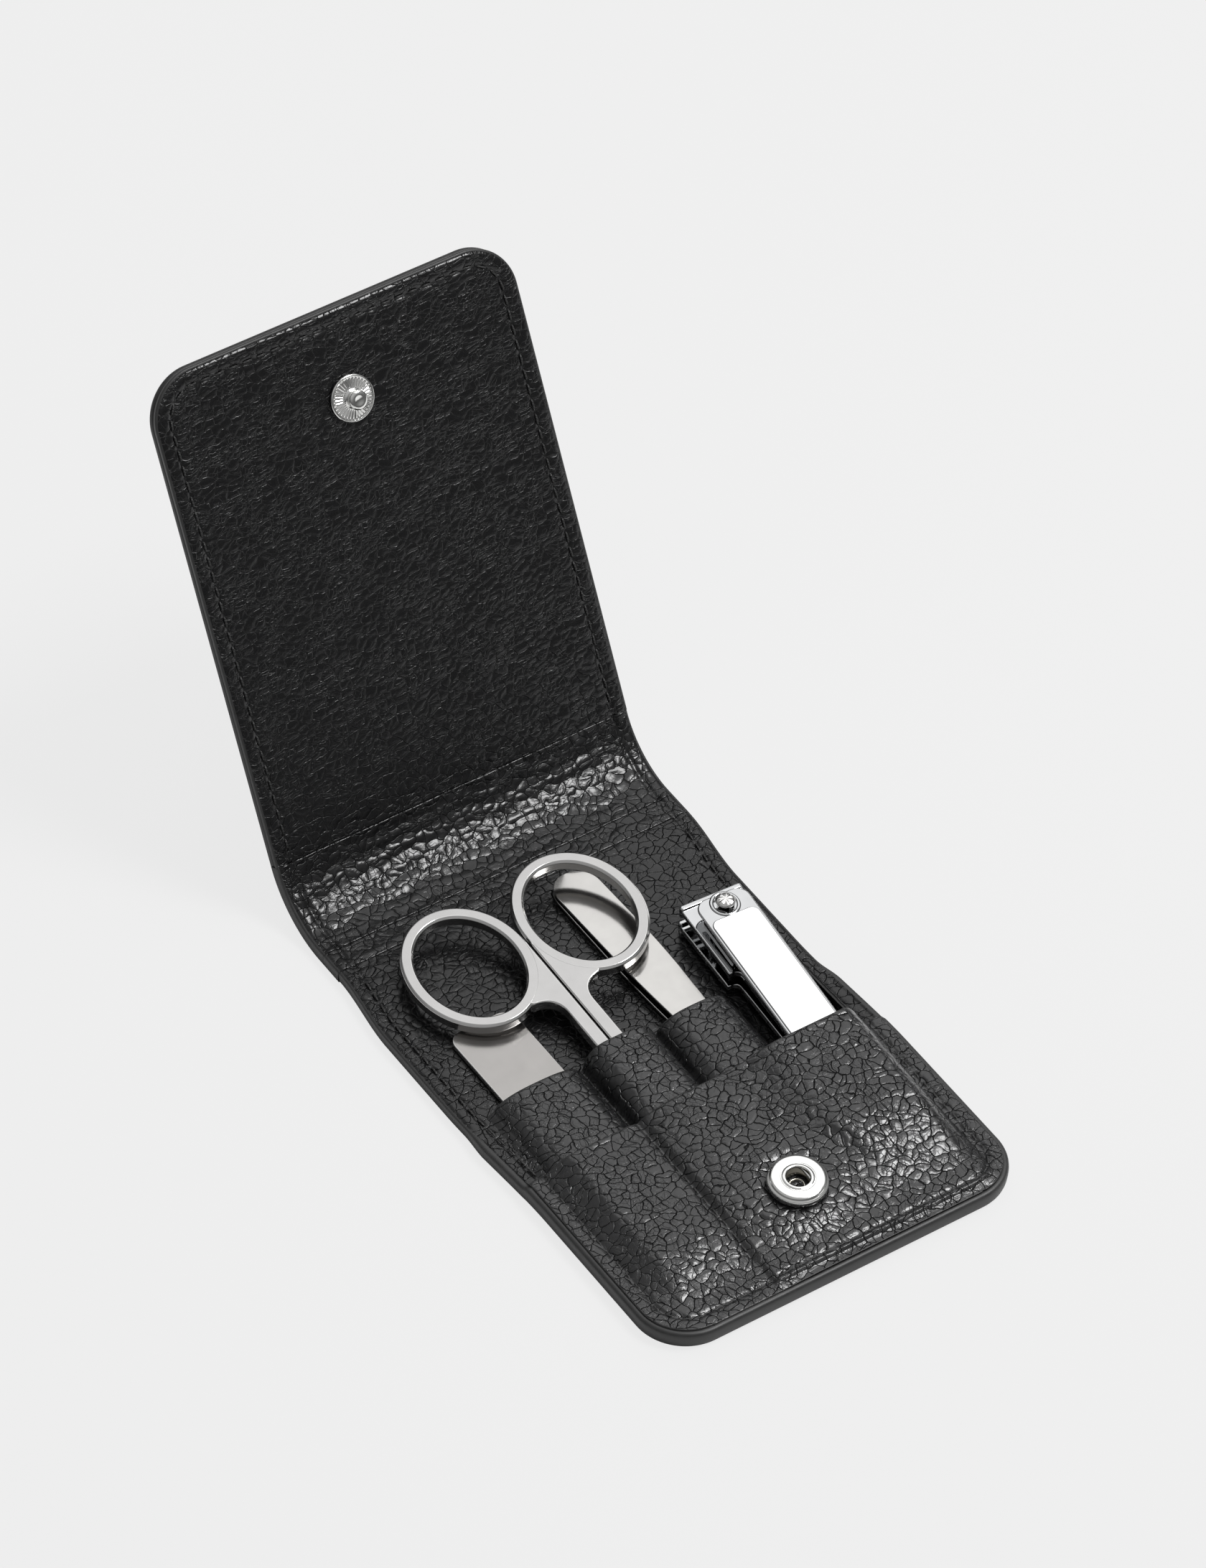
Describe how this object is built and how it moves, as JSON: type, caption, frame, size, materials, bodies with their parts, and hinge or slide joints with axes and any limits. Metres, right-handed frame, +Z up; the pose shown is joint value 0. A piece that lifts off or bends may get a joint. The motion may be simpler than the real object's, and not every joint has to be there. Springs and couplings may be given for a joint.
{
  "type": "manicure set case",
  "caption": "Folding leather manicure case with tool sleeves, front pocket and snap, holding file, scissors, tweezers and nail clipper.",
  "frame": {"origin": "middle of the base panel's underside, half way between its front edge and the lower fold", "axes": "+X to the right across the case, +Y from the front edge to the fold and the flap, +Z up from the table"},
  "size_m": [0.072, 0.1628, 0.0871],
  "materials": {
    "outer_leather": "black pebbled leather with a satin sheen",
    "lining_leather": "black fine-grained leather, more matt",
    "board": "grey stiffening board",
    "thread": "black waxed thread",
    "satin_steel": "satin steel with polished edges",
    "chrome": "mirror chrome",
    "snap_metal": "polished nickel"
  },
  "bodies": {
    "base": {"base_outer_leather": "outer_leather", "base_board": "board", "base_lining": "lining_leather", "tool_sleeve_strip": "outer_leather", "front_pocket_panel": "outer_leather", "pocket_gusset": "outer_leather", "base_front_thread": "thread", "base_left_thread": "thread", "base_right_thread": "thread", "pocket_seam_thread": "thread", "sleeve_seam_thread_left": "thread", "sleeve_seam_thread_right": "thread", "snap_socket": "snap_metal", "snap_socket_spring": "snap_metal", "snap_socket_post": "snap_metal"},
    "spine": {"spine_outer_leather": "outer_leather", "spine_lining": "lining_leather", "lower_fold_leather": "outer_leather"},
    "flap": {"flap_outer_leather": "outer_leather", "flap_board": "board", "flap_lining": "lining_leather", "flap_edge_thread": "thread", "snap_stud": "snap_metal", "snap_cap": "snap_metal", "upper_fold_leather": "outer_leather"},
    "file": {"nail_file": "satin_steel"},
    "scissors": {"scissors_screw": "satin_steel"},
    "scissors_right": {"scissors_right_half": "satin_steel"},
    "scissors_left": {"scissors_left_half": "satin_steel"},
    "tweezers": {"tweezers_lower_leaf": "satin_steel"},
    "tweezers_leaf": {"tweezers_upper_leaf": "satin_steel"},
    "clipper": {"clipper_lower_arm": "chrome", "clipper_post": "chrome", "clipper_tail_rivet": "chrome"},
    "clipper_arm": {"clipper_upper_arm": "chrome"},
    "clipper_lever": {"clipper_lever": "chrome"}
  },
  "joints": [
    {"name": "spine_fold", "type": "hinge", "parent": "base", "child": "spine", "pos_m": [0, 0.0503, 0.0026], "axis": [-1, 0, 0], "range_deg": [-105, 0], "deforming": ["lower_fold_leather"]},
    {"name": "flap_fold", "type": "hinge", "parent": "spine", "child": "flap", "pos_m": [0, 0.0634, 0.0026], "axis": [-1, 0, 0], "range_deg": [-17.76, 60.1], "deforming": ["upper_fold_leather"]},
    {"name": "file_slide", "type": "slide", "parent": "base", "child": "file", "axis": [0, 1, 0], "range_m": [0, 0.028]},
    {"name": "scissors_slide", "type": "slide", "parent": "base", "child": "scissors", "axis": [0, 0.9987, 0.051], "range_m": [0, 0.0145]},
    {"name": "scissors_right_open", "type": "hinge", "parent": "scissors", "child": "scissors_right", "pos_m": [-0.0078, -0.0123, 0.00467], "axis": [-0.061, -0.0509, 0.9968], "range_deg": [-3.5, 0]},
    {"name": "scissors_left_open", "type": "hinge", "parent": "scissors", "child": "scissors_left", "pos_m": [-0.0078, -0.0123, 0.00467], "axis": [-0.061, -0.0509, 0.9968], "range_deg": [0, 3.5]},
    {"name": "tweezers_slide", "type": "slide", "parent": "base", "child": "tweezers", "axis": [0, 1, 0], "range_m": [0, 0.011]},
    {"name": "tweezers_squeeze", "type": "hinge", "parent": "tweezers", "child": "tweezers_leaf", "pos_m": [0.0084, 0.0417, 0.0035], "axis": [1, 0, 0], "range_deg": [0, 0.35], "stiffness_Nm_per_rad": 1},
    {"name": "clipper_slide", "type": "slide", "parent": "base", "child": "clipper", "axis": [0.061, 0.9981, 0], "range_m": [0, 0.03]},
    {"name": "clipper_squeeze", "type": "hinge", "parent": "clipper", "child": "clipper_arm", "pos_m": [0.02065, -0.02921, 0.00495], "axis": [0.9981, -0.061, 0], "range_deg": [-1.4, 0], "stiffness_Nm_per_rad": 2},
    {"name": "lever_swivel", "type": "hinge", "parent": "clipper", "child": "clipper_lever", "pos_m": [0.0237, 0.0207, 0.0113], "axis": [0, 0, 1], "range_deg": [-2, 2]}
  ],
  "couplings": [
    {"joint": "scissors_left_open", "follows": "scissors_right_open", "ratio": -1}
  ]
}
